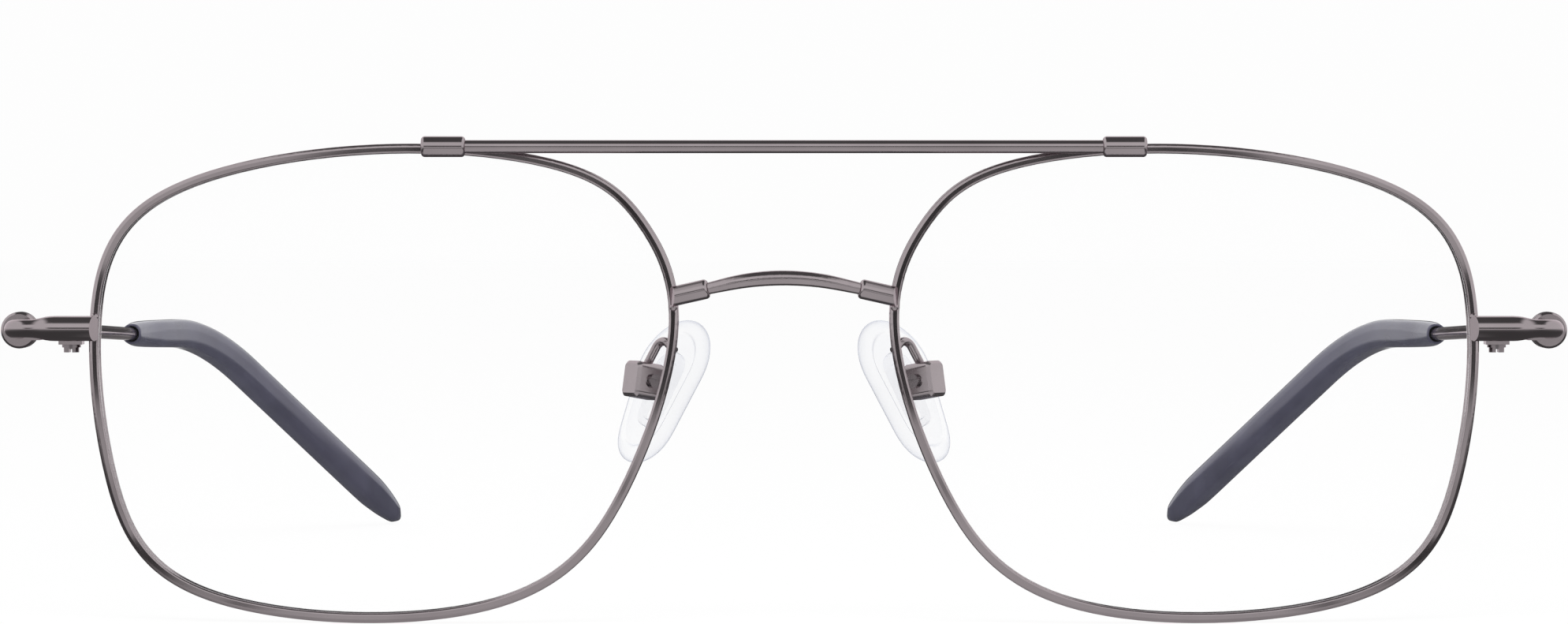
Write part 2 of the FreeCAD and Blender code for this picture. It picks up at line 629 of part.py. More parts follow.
def make_lock():
    """Two halves that close the rim round the lens, and the screw that draws them together."""
    deep = RIM_BACK_Y - SEAT_Y - size("braze_gap")
    middle = Vector(LOCK_X, (RIM_BACK_Y + SEAT_Y + size("braze_gap")) / 2, LOCK_Z)
    inside = "-size.lock_reach - size.rim_width / 2"
    half = "size.lock_foot / 2"
    upper_corners = block_corners(inside, half, "size.lock_slit / 2", "size.lock_upper_height")
    lower_corners = [(inside, "-size.lock_slit / 2"), (half, "-size.lock_slit / 2"),
                     (half, "-size.lock_lower_height"), ("-" + half, "-size.lock_lower_height"),
                     ("-" + half, "-size.lock_lower_height + size.lock_step"),
                     (inside, "-size.lock_lower_height + size.lock_step")]
    for label, corners in (("rim_lock_upper", upper_corners), ("rim_lock_lower", lower_corners)):
        body = new_body(label + "_block")
        sketch = corner_sketch(body, label + "_outline", "XZ_Plane", corners)
        pad(body, label + "_pad", sketch, str(deep))
        hole = circle_sketch(body, label + "_hole", "XY_Plane",
                             "size.lock_screw_diameter + 2 * size.screw_play")
        pocket_through(body, label + "_bore", hole)
        body.Placement.Base = middle
        node(cut(label, body, [RIM_SEAT]), label + "_left")
    body = new_body("rim_screw")
    collar = "-size.lock_collar_height"
    head = "-size.lock_collar_height - size.lock_head_height"
    corners = [("0", "size.lock_upper_height + size.lock_lower_height"),
               ("size.lock_screw_diameter / 2", "size.lock_upper_height + size.lock_lower_height"),
               ("size.lock_screw_diameter / 2", "0"), ("size.lock_collar_diameter / 2", "0"),
               ("size.lock_collar_diameter / 2", collar), ("size.lock_head_diameter / 2", collar),
               ("size.lock_head_diameter / 2", head), ("0", head)]
    turn(body, "rim_screw_turn", corner_sketch(body, "rim_screw_profile", "XZ_Plane", corners))
    slot = block_corners("-size.slot_width / 2", "size.slot_width / 2", head + " - size.slot_depth",
                         head + " + size.slot_depth")
    pocket_through(body, "rim_screw_slot", corner_sketch(body, "rim_screw_slot_outline", "XZ_Plane", slot))
    body.Placement.Base = middle - UP * (size("lock_lower_height") + size("screw_play"))
    node(body, "rim_screw_left")


HINGE = Vector(FLANGE.x - size("knuckle_offset"),
               FLANGE.y + size("flange_thickness") + size("hinge_gap") / 2, FLANGE.z)
HINGE_HALF = size("middle_height") / 2 + size("hinge_gap") + size("knuckle_height")


def make_flange():
    body = new_body("flange_disc")
    disc = pad(body, "flange_pad", circle_sketch(body, "flange_outline", "XZ_Plane", "size.flange_diameter"),
               "size.flange_thickness")
    dress(body, "flange_edge", "Chamfer", disc, round_edges(disc), "size.flange_chamfer")
    body.Placement.Base = FLANGE + BACK * (size("flange_thickness") / 2)
    clear = cylinder("temple_barrel_room", "size.knuckle_diameter + 2 * size.hinge_gap",
                     "size.middle_height + 2 * size.hinge_gap",
                     HINGE - UP * (size("middle_height") / 2 + size("hinge_gap")))
    node(cut("flange", body, [clear]), "endpiece_flange_left")
    return body, clear


def make_hinge(endpiece, flange, temple_room):
    """Three barrels on an upright screw: the outer two on the endpiece, the middle one on the temple."""
    low = HINGE - UP * HINGE_HALF
    height = "size.middle_height + 2 * (size.hinge_gap + size.knuckle_height)"
    barrels = cylinder("front_barrels", "size.knuckle_diameter", height, low)
    leaf = box("front_leaf", "size.leaf_width", "size.leaf_length", height,
               low - BACK * (size("leaf_length") + size("hinge_gap") / 2))
    bore = cylinder("front_bore", "size.hinge_screw_diameter + 2 * size.screw_play", height, low)
    head_room = cylinder("hinge_head_room", "size.hinge_head_diameter + 2 * size.screw_play",
                         "size.hinge_head_height + size.knuckle_height",
                         HINGE + UP * (HINGE_HALF - size("hinge_head_height")))
    blank = fuse("front_hinge_blank", [barrels, leaf])
    tools = [temple_room, bore, head_room, endpiece, flange]
    node(cut("hinge_front", blank, tools), "hinge_front_left")

    barrel = cylinder("temple_barrel", "size.knuckle_diameter", "size.middle_height",
                      HINGE - UP * (size("middle_height") / 2))
    leaf = box("temple_leaf", "size.leaf_width", "size.leaf_length", "size.middle_height",
               HINGE + BACK * (size("hinge_gap") / 2) - UP * (size("middle_height") / 2))
    bore = cylinder("temple_bore", "size.hinge_screw_diameter + 2 * size.hinge_play", "size.middle_height",
                    HINGE - UP * (size("middle_height") / 2))
    blank = fuse("temple_hinge_blank", [barrel, leaf])
    return cut("hinge_temple_blank", blank, [bore])


def make_hinge_screw():
    body = new_body("hinge_screw")
    top = "size.middle_height / 2 + size.hinge_gap + size.knuckle_height"
    seat = top + " - size.hinge_head_height"
    corners = [("0", "-(%s)" % top), ("size.hinge_screw_diameter / 2", "-(%s)" % top),
               ("size.hinge_screw_diameter / 2", seat), ("size.hinge_head_diameter / 2", seat),
               ("size.hinge_head_diameter / 2", top), ("0", top)]
    turn(body, "hinge_screw_turn", corner_sketch(body, "hinge_screw_profile", "XZ_Plane", corners))
    slot = block_corners("-size.slot_width / 2", "size.slot_width / 2", top + " - size.slot_depth / 2",
                         top + " + size.slot_depth")
    outline = corner_sketch(body, "hinge_screw_slot_outline", "XZ_Plane", slot)
    pocket_through(body, "hinge_screw_slot", outline)
    body.Placement.Base = HINGE + UP * size("screw_play")
    node(body, "hinge_screw_left")


BUTT_START = Vector(FLANGE.x, FLANGE.y + size("flange_thickness") + size("hinge_gap"), FLANGE.z)


def make_temple_butt(hinge_blank):
    """Disc that closes on the flange, with a socket for the temple wire behind it."""
    body = new_body("butt")
    radius = "size.flange_diameter / 2"
    inner = "size.temple_diameter / 2 + size.braze_gap"
    corners = [("0", "0"), (radius + " - size.flange_chamfer", "0"), (radius, "size.flange_chamfer"),
               (radius, "size.flange_thickness - size.flange_chamfer"),
               (radius + " - size.flange_chamfer", "size.flange_thickness"),
               ("size.butt_neck / 2", "size.flange_thickness"), ("size.butt_end / 2", "size.butt_length"),
               (inner, "size.butt_length"), (inner, "size.butt_length - size.butt_socket"),
               ("0", "size.butt_length - size.butt_socket")]
    turn(body, "butt_turn", corner_sketch(body, "butt_profile", "XY_Plane", corners))
    body.Placement.Base = BUTT_START
    height = "size.middle_height + 2 * (2 * size.hinge_gap + size.knuckle_height)"
    clear = cylinder("front_barrel_room", "size.knuckle_diameter + 2 * size.hinge_gap", height,
                     HINGE - UP * (HINGE_HALF + size("hinge_gap")))
    blank = cut("butt_blank", body, [clear])
    node(cut("temple_butt", blank, [hinge_blank]), "temple_butt_left")
    neck = cylinder("butt_neck_room", "size.butt_neck + 2 * size.braze_gap", "size.butt_length",
                    BUTT_START, BACK)
    node(cut("hinge_temple", hinge_blank, [neck]), "hinge_temple_left")


def temple_route():
    points = [BUTT_START + BACK * (size("butt_length") - size("butt_socket") + size("braze_gap"))]
    radii = [0]
    for inwards, behind, height, radius in TEMPLE_CORNERS:
        points.append(Vector(BUTT_START.x - inwards, BUTT_START.y + behind, BUTT_START.z * height))
        radii.append(radius)
    return filleted_wire(points, radii)


def make_temple():
    """Wire from the butt to inside the tip, and the tip moulded over its end."""
    route = temple_route()
    bore = shape_item("tip_bore", rod(route, size("temple_diameter") + 2 * size("tip_play")))
    tail = box("wire_tail", "size.tip_length", "size.tip_length", "size.tip_length", Vector(0, 0, 0))
    end_place, end_run = point_along(route, route.Length - size("tip_solid"))
    tail.Placement = Placement(end_place, Rotation(BACK, end_run)).multiply(
        Placement(Vector(-size("tip_length") / 2, 0, -size("tip_length") / 2), Rotation()))
    wire = shape_item("temple_rod", rod(route, size("temple_diameter")))
    node(cut("temple_wire", wire, [tail]), "temple_wire_left")
    start = route.Length - size("tip_length")
    mouth = size("tip_mouth")
    places = [(start, mouth, mouth)]
    for share, tall, thick in TIP_STATIONS:
        places.append((start + share * size("tip_length"), tall * size("tip_height"),
                       thick * size("tip_thickness")))
    sections = [tip_section(route, *place) for place in places]
    tip = shape_item("tip_blank", Part.makeLoft(sections, True))
    place, along = point_along(route, start)
    wide = size("tip_hole") / 2
    deep = size("temple_diameter") / 2 + size("tip_play")
    # The cone runs past the mouth, and past its meeting with the bore, so the cut leaves no shared edges.
    flare = Part.makeCone(2 * wide - deep, 2 * deep - wide, 3 * size("tip_flare"),
                          place - along * size("tip_flare"), along)
    hollows = [cut("tip_hollow", bore, [tail]), shape_item("tip_flare", flare)]
    node(cut("temple_tip", tip, hollows), "temple_tip_left")


def tip_section(route, distance, tall, thick):
    place, along = point_along(route, distance)
    side = along.cross(UP).normalize()
    rise = side.cross(along)
    corners = [place + side * (thick / 2 * a) + rise * (tall / 2 * b)
               for a, b in ((-1, -1), (1, -1), (1, 1), (-1, 1))]
    return filleted_wire(corners, [size("tip_round") * min(tall, thick)] * 4, closed=True)


def pad_frame(tilt, place):
    """Placement whose X runs along the pad screw, Y towards the nose and Z up the pad."""
    splay = math.radians(size("pad_splay"))
    lean = math.radians(tilt)
    across = Vector(math.sin(splay), math.cos(splay), 0)
    rise = Vector(-math.sin(lean), math.sin(lean) * math.tan(splay), math.cos(lean)).normalize()
    towards = rise.cross(across)
    return Placement(place, Rotation(across, towards, rise, "XYZ"))


BOX_PLACE = Vector(size("bridge_width") / 2 + size("box_inside"), size("box_behind"),
                   LENS_Z + size("box_above"))
BOX_FRAME = pad_frame(size("box_tilt"), BOX_PLACE)
PIVOT = BOX_FRAME.multVec(BACK * size("box_pivot"))
PAD_FRAME = pad_frame(size("pad_tilt"), PIVOT)


def make_pad_box():
    """Box that holds the pad's lug: closed at the back, open towards the nose."""
    body = new_body("pad_cup")
    half_width = "size.box_width / 2"
    half_length = "size.box_length / 2"
    outline = corner_sketch(body, "pad_cup_outline", "XY_Plane",
                            block_corners("-" + half_width, half_width, "-" + half_length, half_length))
    block = pad(body, "pad_cup_pad", outline, "size.box_height")
    quarter = size("box_length") / 4
    long_edges = edges_where(block, lambda edge: abs(edge.CenterOfMass.y) < quarter)
    rounded = dress(body, "pad_cup_round", "Fillet", block, long_edges, "size.box_round")
    end_edges = edges_where(rounded, lambda edge: edge.CenterOfMass.y < -quarter)
    dress(body, "pad_cup_bevel", "Chamfer", rounded, end_edges, "size.box_bevel")
    gap = "size.lug_width / 2 + size.lug_gap"
    hollow = corner_sketch(body, "pad_cup_hollow", "XY_Plane",
                           block_corners("-(%s)" % gap, gap, "-%s + size.box_back" % half_length,
                                         "size.box_length"))
    feature = body.newObject("PartDesign::Pocket", "pad_cup_pocket")
    feature.Profile = hollow
    feature.SideType = "Symmetric"
    feature.setExpression("Length", "size.box_room")
    body.Placement = BOX_FRAME
    screw = cylinder("pad_screw_room", "size.pad_screw_diameter + 2 * size.screw_play", "2 * size.box_width",
                     BOX_FRAME.multVec(Vector(-size("box_width"), size("box_pivot"), 0)),
                     BOX_FRAME.Rotation.multVec(RIGHT))
    node(cut("pad_box", body, [screw]), "pad_box_left")
    return body


def make_pad_screw():
    body = new_body("pad_screw")
    head = "size.box_width / 2 + size.pad_head_height"
    corners = [("0", "-size.box_width / 2"), ("size.pad_screw_diameter / 2", "-size.box_width / 2"),
               ("size.pad_screw_diameter / 2", "size.box_width / 2"),
               ("size.pad_head_diameter / 2", "size.box_width / 2"),
               ("size.pad_head_diameter / 2", head), ("0", head)]
    turn(body, "pad_screw_turn", corner_sketch(body, "pad_screw_profile", "XZ_Plane", corners))
    slot = block_corners("-size.slot_width / 2", "size.slot_width / 2", head + " - size.slot_depth / 2",
                         head + " + size.slot_depth")
    pocket_through(body, "pad_screw_slot", corner_sketch(body, "pad_screw_slot_outline", "XZ_Plane", slot))
    lie = Placement(Vector(-size("screw_play"), 0, 0), Rotation(UP, RIGHT * -1))
    body.Placement = BOX_FRAME.multiply(Placement(BACK * size("box_pivot"), Rotation())).multiply(lie)
    node(body, "pad_screw_left")


def make_pad_arm(box_body):
    """Wire from the back of the rim, over and down to the top of the pad box."""
    top = BOX_FRAME.multVec(Vector(0, size("box_pivot"), (size("box_height") + size("box_room")) / 4))
    x = size("bridge_width") / 2
    z = top.z + size("arm_root")
    root = Vector(x, rim_front(x, z) + size("rim_depth"), z)
    loop = Vector(x + size("arm_out"), (root.y + top.y) / 2 + size("arm_back"), top.z + size("arm_loop"))
    route = filleted_wire([root, loop, top], [0, size("arm_bend"), 0])
    arm = shape_item("pad_arm_rod", rod(route, size("arm_diameter")))
    node(cut("pad_arm", arm, [RIM_SEAT, box_body]), "pad_arm_left")


def drop_shape(length, top, bottom, thickness):
    """Slab whose outline is a wide arc on top, a narrower one below and a straight line on each side."""
    high = length / 2 - top / 2
    low = -length / 2 + bottom / 2
    slant = math.asin((top - bottom) / 2 / (high - low))
    points = []
    for centre, radius in ((high, top / 2), (low, bottom / 2)):
        points.append(Vector(radius * math.cos(slant), 0, centre + radius * math.sin(slant)))
    upper, lower = points
    crown = Part.Arc(upper, Vector(0, 0, length / 2), Vector(-upper.x, 0, upper.z))
    foot = Part.Arc(Vector(-lower.x, 0, lower.z), Vector(0, 0, -length / 2), lower)
    sides = [Part.LineSegment(Vector(-upper.x, 0, upper.z), Vector(-lower.x, 0, lower.z)),
             Part.LineSegment(lower, upper)]
    wire = Part.Wire([crown.toShape(), sides[0].toShape(), foot.toShape(), sides[1].toShape()])
    slab = Part.Face(wire).extrude(BACK * thickness)
    slab.translate(BACK * (-thickness / 2))
    return slab


def core_shape(grow):
    """Plate inside the pad, with the lug that the pad screw passes through."""
    plate = drop_shape(size("core_length") + 2 * grow, size("core_top") + 2 * grow,
                       size("core_bottom") + 2 * grow, size("core_thickness") + 2 * grow)
    reach = size("pad_offset") - size("pad_thickness") / 4
    plate.translate(Vector(size("pad_shift"), reach, size("pad_raise")))
    tall = size("lug_height") + 2 * grow
    wide = size("lug_width") + 2 * grow
    eye = Part.makeCylinder(tall / 2, wide, Vector(-wide / 2, 0, 0), RIGHT)
    lug = Part.makeBox(wide, reach, tall, Vector(-wide / 2, 0, -tall / 2))
    holes = [Part.makeCylinder(size("pad_screw_diameter") / 2 + size("hinge_play"), 2 * wide,
                               Vector(-wide, 0, 0), RIGHT)]
    for height in (size("core_length") - size("core_top"), size("core_bottom") - size("core_length")):
        place = Vector(size("pad_shift"), 0, size("pad_raise") + height / 2)
        holes.append(Part.makeCylinder(size("core_hole") / 2 - grow, 2 * reach, place, BACK))
    return plate.fuse([eye, lug]).cut(holes).removeSplitter()


def make_nose_pad():
    core = shape_item("pad_core", core_shape(0))
    core.Placement = PAD_FRAME
    node(core, "pad_core_left")
    slab = drop_shape(size("pad_length"), size("pad_top"), size("pad_bottom"), size("pad_thickness"))
    soft = slab
    for way, radius in ((1, size("pad_round")), (-1, size("pad_front_round"))):
        edges = [edge for edge in soft.Edges if edge.CenterOfMass.y * way > size("pad_thickness") / 2 - 0.01]
        soft = soft.makeFillet(radius, edges)
    soft.translate(Vector(size("pad_shift"), size("pad_offset"), size("pad_raise")))
    cushion = shape_item("nose_pad", soft.cut(core_shape(size("core_play"))))
    cushion.Placement = PAD_FRAME
    node(cushion, "nose_pad_left")


def mirror_nodes():
    for label in list(nodes):
        if label.endswith("_left"):
            twin = doc.addObject("Part::Mirroring", label.replace("_left", "_right_twin"))
            twin.Source = nodes[label]
            twin.Normal = RIGHT
            node(twin, label.replace("_left", "_right"))


def stand_on_origin():
    """Moves every piece so that the middle of the glasses' footprint on the table is at zero."""
    whole = FreeCAD.BoundBox()
    for item in nodes.values():
        whole.add(item.Shape.optimalBoundingBox(False))
    shift = Vector(0, -(whole.YMin + whole.YMax) / 2, -whole.ZMin)
    for label, item in nodes.items():
        if not label.endswith("_right"):
            item.Placement.Base = item.Placement.Base + shift
    doc.recompute()
    return shift


def check_objects():
    for item in doc.Objects:
        if "Invalid" in item.State or "Error" in item.State:
            raise RuntimeError("%s failed: %s" % (item.Name, item.State))
    for label, item in nodes.items():
        if item.Shape.isNull() or not item.Shape.isValid():
            raise RuntimeError(label + " has no valid shape")


make_rim()
make_lens()
make_brow_bar()
make_bar_sleeve()
make_bridge()
make_bridge_sleeve()
endpiece_blank = make_endpiece()
make_lock()
flange_body, barrel_room = make_flange()
temple_hinge = make_hinge(endpiece_blank, flange_body, barrel_room)
make_hinge_screw()
make_temple_butt(temple_hinge)
make_temple()
pad_cup = make_pad_box()
make_pad_screw()
make_pad_arm(pad_cup)
make_nose_pad()
doc.recompute()
mirror_nodes()
doc.recompute()
shift = stand_on_origin()
check_objects()

for label, item in nodes.items():
    item.Shape.exportStep("parts/%s.step" % label)
    bounds = item.Shape.optimalBoundingBox(False)
    print("%-24s solids %d volume %9.3f  x %.2f %.2f  y %.2f %.2f  z %.2f %.2f" % (
        label, len(item.Shape.Solids), item.Shape.Volume, bounds.XMin, bounds.XMax, bounds.YMin, bounds.YMax,
        bounds.ZMin, bounds.ZMax))
print("left hinge axis", HINGE + shift)
print("left pad pivot", PIVOT + shift, "axis", PAD_FRAME.Rotation.multVec(RIGHT))
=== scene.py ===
import json
import math

import bmesh
import bpy
from mathutils import Matrix, Vector


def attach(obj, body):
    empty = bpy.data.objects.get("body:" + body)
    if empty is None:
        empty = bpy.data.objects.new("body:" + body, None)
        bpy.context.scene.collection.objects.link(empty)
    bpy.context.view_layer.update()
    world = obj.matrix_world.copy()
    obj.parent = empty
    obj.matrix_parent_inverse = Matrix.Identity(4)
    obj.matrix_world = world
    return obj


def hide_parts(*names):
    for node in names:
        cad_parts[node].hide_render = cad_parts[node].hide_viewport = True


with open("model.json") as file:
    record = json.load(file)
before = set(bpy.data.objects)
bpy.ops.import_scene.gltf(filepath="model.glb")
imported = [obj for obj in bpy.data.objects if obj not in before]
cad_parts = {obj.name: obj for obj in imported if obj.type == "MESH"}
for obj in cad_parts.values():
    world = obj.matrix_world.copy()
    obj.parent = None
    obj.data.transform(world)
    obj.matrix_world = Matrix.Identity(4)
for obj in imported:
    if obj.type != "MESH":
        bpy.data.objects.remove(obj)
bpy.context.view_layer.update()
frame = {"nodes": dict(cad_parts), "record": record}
nodes = frame["nodes"]

# Places are metres in the row frame: X to the wearer's left, Y from the lenses back to the tips, Z up.
# Sizes whose comment says so are millimetres.
MM_PER_METRE = 1000
SIDES = ("left", "right")
MIRROR = Matrix.Diagonal((-1, 1, 1, 1))
# Depth of the lens apex; the camera is placed from it.
APEX_Y = -0.072589
# Nearly all values of a noise lie between these two.
NOISE_LOW = 0.3
NOISE_HIGH = 0.7


# Material helpers

def new_material(name):
    material = bpy.data.materials.new(name)
    material.use_nodes = True
    tree = material.node_tree
    return material, tree, tree.nodes["Principled BSDF"]


def add(tree, kind, **settings):
    item = tree.nodes.new(kind)
    for key, value in settings.items():
        setattr(item, key, value)
    return item


def math_node(tree, operation, first, second=None, clamp=False):
    item = add(tree, "ShaderNodeMath", operation=operation, use_clamp=clamp)
    for socket, value in zip(item.inputs, (first, second)):
        if value is None:
            continue
        if isinstance(value, (int, float)):
            socket.default_value = value
        else:
            tree.links.new(value, socket)
    return item.outputs[0]


def smooth_range(tree, value, low, high, to_low=0.0, to_high=1.0):
    item = add(tree, "ShaderNodeMapRange", interpolation_type="SMOOTHSTEP")
    tree.links.new(value, item.inputs["Value"])
    item.inputs["From Min"].default_value = low
    item.inputs["From Max"].default_value = high
    item.inputs["To Min"].default_value = to_low
    item.inputs["To Max"].default_value = to_high
    return item.outputs["Result"]


def noise(tree, scale, detail=3.0):
    place = add(tree, "ShaderNodeTexCoord")
    item = add(tree, "ShaderNodeTexNoise")
    item.inputs["Scale"].default_value = scale
    item.inputs["Detail"].default_value = detail
    tree.links.new(place.outputs["Object"], item.inputs["Vector"])
    return item.outputs["Fac"]


def patchy_level(tree, patches, low, high):
    """Value that wanders between two levels with a noise."""
    return smooth_range(tree, patches, NOISE_LOW, NOISE_HIGH, low, high)


def patchy_colour(tree, patches, dark, light):
    """Colour that wanders between two tones with a noise."""
    item = add(tree, "ShaderNodeValToRGB")
    tree.links.new(patches, item.inputs["Fac"])
    for element, place, colour in zip(item.color_ramp.elements, (NOISE_LOW, NOISE_HIGH), (dark, light)):
        element.position = place
        element.color = (*colour, 1)
    return item.outputs["Color"]


def bump(tree, shader, height, strength, distance):
    item = add(tree, "ShaderNodeBump")
    item.inputs["Strength"].default_value = strength
    item.inputs["Distance"].default_value = distance
    tree.links.new(height, item.inputs["Height"])
    tree.links.new(item.outputs["Normal"], shader.inputs["Normal"])


def clear_alpha(tree, shader, patches, haze, blend, edge_reflection_span, edge_reflection):
    """Faint haze all over, and a more solid skin where the surface is seen at a slant: a painted reflection
    in the material's colour.
    """
    slant = add(tree, "ShaderNodeLayerWeight")
    slant.inputs["Blend"].default_value = blend
    edge = smooth_range(tree, slant.outputs["Facing"], *edge_reflection_span, 0.0, edge_reflection)
    tree.links.new(math_node(tree, "ADD", patchy_level(tree, patches, *haze), edge, clamp=True),
                   shader.inputs["Alpha"])


# Materials

def gunmetal(name, dark, light, roughness):
    """Polished plating: faint patches in its colour and gloss, and a slight unevenness."""
    material, tree, shader = new_material(name)
    shader.inputs["Metallic"].default_value = 1.0
    shader.inputs["Specular Tint"].default_value = (0.93, 0.85, 0.88, 1)
    patches = noise(tree, 160.0)
    tree.links.new(patchy_colour(tree, patches, dark, light), shader.inputs["Base Color"])
    tree.links.new(patchy_level(tree, patches, roughness * 0.85, roughness * 1.2), shader.inputs["Roughness"])
    bump(tree, shader, noise(tree, 90.0, detail=1.0), strength=0.03, distance=0.0002)
    return material


def tip_plastic():
    """Dark blue-grey gloss plastic, a little mottled."""
    material, tree, shader = new_material("tip_plastic")
    patches = noise(tree, 240.0)
    tree.links.new(patchy_colour(tree, patches, (0.062, 0.061, 0.090), (0.082, 0.081, 0.120)),
                   shader.inputs["Base Color"])
    tree.links.new(patchy_level(tree, patches, 0.07, 0.11), shader.inputs["Roughness"])
    shader.inputs["IOR"].default_value = 1.6
    shader.inputs["Specular Tint"].default_value = (0.84, 0.8, 1, 1)
    bump(tree, shader, noise(tree, 150.0, detail=2.0), strength=0.05, distance=0.0003)
    return material


def lens_glass():
    """Clear coated lens: almost nothing face on, a pale sheen at a slant."""
    material, tree, shader = new_material("lens_glass")
    shader.inputs["Base Color"].default_value = (0.93, 0.95, 0.97, 1)
    shader.inputs["Roughness"].default_value = 0.03
    patches = noise(tree, 40.0)
    clear_alpha(tree, shader, patches, haze=(0.003, 0.006), blend=0.35, edge_reflection_span=(0.35, 1.0), edge_reflection=0.4)
    return material


def clear_silicone():
    """Clear soft pad: see-through face on, with a painted grey-blue reflection where its skin is seen at a
    slant.
    """
    material, tree, shader = new_material("clear_silicone")
    patches = noise(tree, 300.0)
    # Grey-blue of the painted reflection at the pad's edges, a little patchy; the alpha below makes it show
    # at a slant.
    tree.links.new(patchy_colour(tree, patches, (0.40, 0.43, 0.58), (0.46, 0.50, 0.64)),
                   shader.inputs["Base Color"])
    tree.links.new(patchy_level(tree, patches, 0.05, 0.1), shader.inputs["Roughness"])
    clear_alpha(tree, shader, patches, haze=(0.015, 0.03), blend=0.5, edge_reflection_span=(0.3, 0.95), edge_reflection=0.5)
    return material


def clear_core():
    """Stiff clear insert, seen inside the pad mostly by its edges, where a painted grey-blue reflection
    shows.
    """
    material, tree, shader = new_material("clear_core")
    # Grey-blue of the painted reflection at the insert's edges.
    shader.inputs["Base Color"].default_value = (0.50, 0.53, 0.66, 1)
    shader.inputs["Roughness"].default_value = 0.1
    patches = noise(tree, 200.0)
    clear_alpha(tree, shader, patches, haze=(0.05, 0.09), blend=0.4, edge_reflection_span=(0.4, 1.0), edge_reflection=0.55)
    return material


tips = tip_plastic()
silicone = clear_silicone()
LOOKS = {
    "gunmetal": gunmetal("gunmetal", (0.30, 0.264, 0.275), (0.34, 0.300, 0.312), 0.1),
    "screws": gunmetal("screw_metal", (0.19, 0.168, 0.176), (0.24, 0.212, 0.222), 0.2),
    "tips": tips,
    "lens": lens_glass(),
    "nose_pads": silicone,
    "pad_cores": clear_core(),
}
for entry in frame["record"]["subparts"]:
    item = nodes[entry["node"]]
    item.data.materials.clear()
    item.data.materials.append(LOOKS[entry["material_slot"]])


# Mesh helpers

def join_rings(mesh, rings):
    """Makes the faces between each ring of vertices and the next."""
    count = len(rings[0])
    for first, second in zip(rings, rings[1:]):
        for index in range(count):
            after = (index + 1) % count
            mesh.faces.new((first[index], first[after], second[after], second[index]))


def turn_outwards(mesh):
    """Makes every face of a closed mesh look outwards, also where the mesh was mirrored."""
    bmesh.ops.recalc_face_normals(mesh, faces=mesh.faces[:])
    if mesh.calc_volume(signed=True) < 0:
        bmesh.ops.reverse_faces(mesh, faces=mesh.faces[:])


def smooth_piece(name, mesh, material):
    """Smoothly shaded object from a finished closed mesh."""
    turn_outwards(mesh)
    data = bpy.data.meshes.new(name)
    mesh.to_mesh(data)
    mesh.free()
    for face in data.polygons:
        face.use_smooth = True
    piece = bpy.data.objects.new(name, data)
    bpy.context.scene.collection.objects.link(piece)
    piece.data.materials.append(material)
    return piece


# Nose pads

PAD_SPLAY = math.radians(42)
PAD_TILT = math.radians(22)
# Middle of the pad from its screw: along the screw, towards the nose and up the pad.
PAD_MIDDLE = Vector((0.0009, 0.0029, 0.0004))
PAD_LENGTH = 0.0147
PAD_TOP = 0.0088
PAD_BOTTOM = 0.0066
PAD_POINTS = 48
# How far each face bulges from the pad's middle plane.
NOSE_SIDE_CROWN = 0.00125
BOX_SIDE_CROWN = 0.00085
# The box side is sunk inside this share of the outline, to this share of its crown.
RECESS_OUTLINE = 0.8
RECESS_DEPTH = 0.6
# Shares of the outline at which the pad's rings lie, from its edge to its middle.
PAD_RINGS = (0.999, 0.985, 0.95, 0.89, 0.82, 0.79, 0.76, 0.70, 0.55, 0.3)


def pad_place(side):
    """Pad screw's frame in the row frame: X along the screw, Y towards the nose, Z up the pad."""
    joints = {joint["name"]: joint for joint in frame["record"]["behaviour"]["joints"]}
    pivot = Vector(joints["pad_%s_rock" % side]["pos_m"])
    pivot.x = abs(pivot.x)
    across = Vector((math.sin(PAD_SPLAY), math.cos(PAD_SPLAY), 0))
    rise = Vector((-math.sin(PAD_TILT), math.sin(PAD_TILT) * math.tan(PAD_SPLAY), math.cos(PAD_TILT)))
    rise.normalize()
    towards = rise.cross(across)
    turn = Matrix((across, towards, rise)).transposed().to_4x4()
    place = Matrix.Translation(pivot) @ turn
    return place if side == "left" else MIRROR @ place


def drop_outline(length, top, bottom, count):
    """Points of a drop: two circles joined by their common tangents, the larger one on top."""
    high = length / 2 - top / 2
    low = bottom / 2 - length / 2
    slant = math.asin((top - bottom) / 2 / (high - low))
    normal = Vector((math.cos(slant), -math.sin(slant)))
    reach = top / 2 + high * normal.y
    side_start = low + bottom / 2 * normal.y
    side_end = high + top / 2 * normal.y
    points = []
    for step in range(count):
        turn = 2 * math.pi * step / count
        aim = Vector((math.cos(turn), math.sin(turn)))
        best = 0.0
        for centre, radius in ((high, top / 2), (low, bottom / 2)):
            along = aim.y * centre
            inside = radius ** 2 - centre ** 2 + along ** 2
            if inside > 0:
                best = max(best, along + math.sqrt(inside))
        facing = abs(aim.x) * normal.x + aim.y * normal.y
        if facing > 0:
            edge = reach / facing
            if side_start < aim.y * edge < side_end:
                best = edge
        points.append(aim * best)
    return points


def pad_depth(share, way):
    """Height of the pad's skin over its middle plane: on the nose side (1), edge (0) or box side (-1)."""
    deep = (1 - share ** 4) ** 0.4
    if way > 0:
        return deep * NOSE_SIDE_CROWN
    if share < RECESS_OUTLINE:
        deep *= RECESS_DEPTH
    return way * deep * BOX_SIDE_CROWN


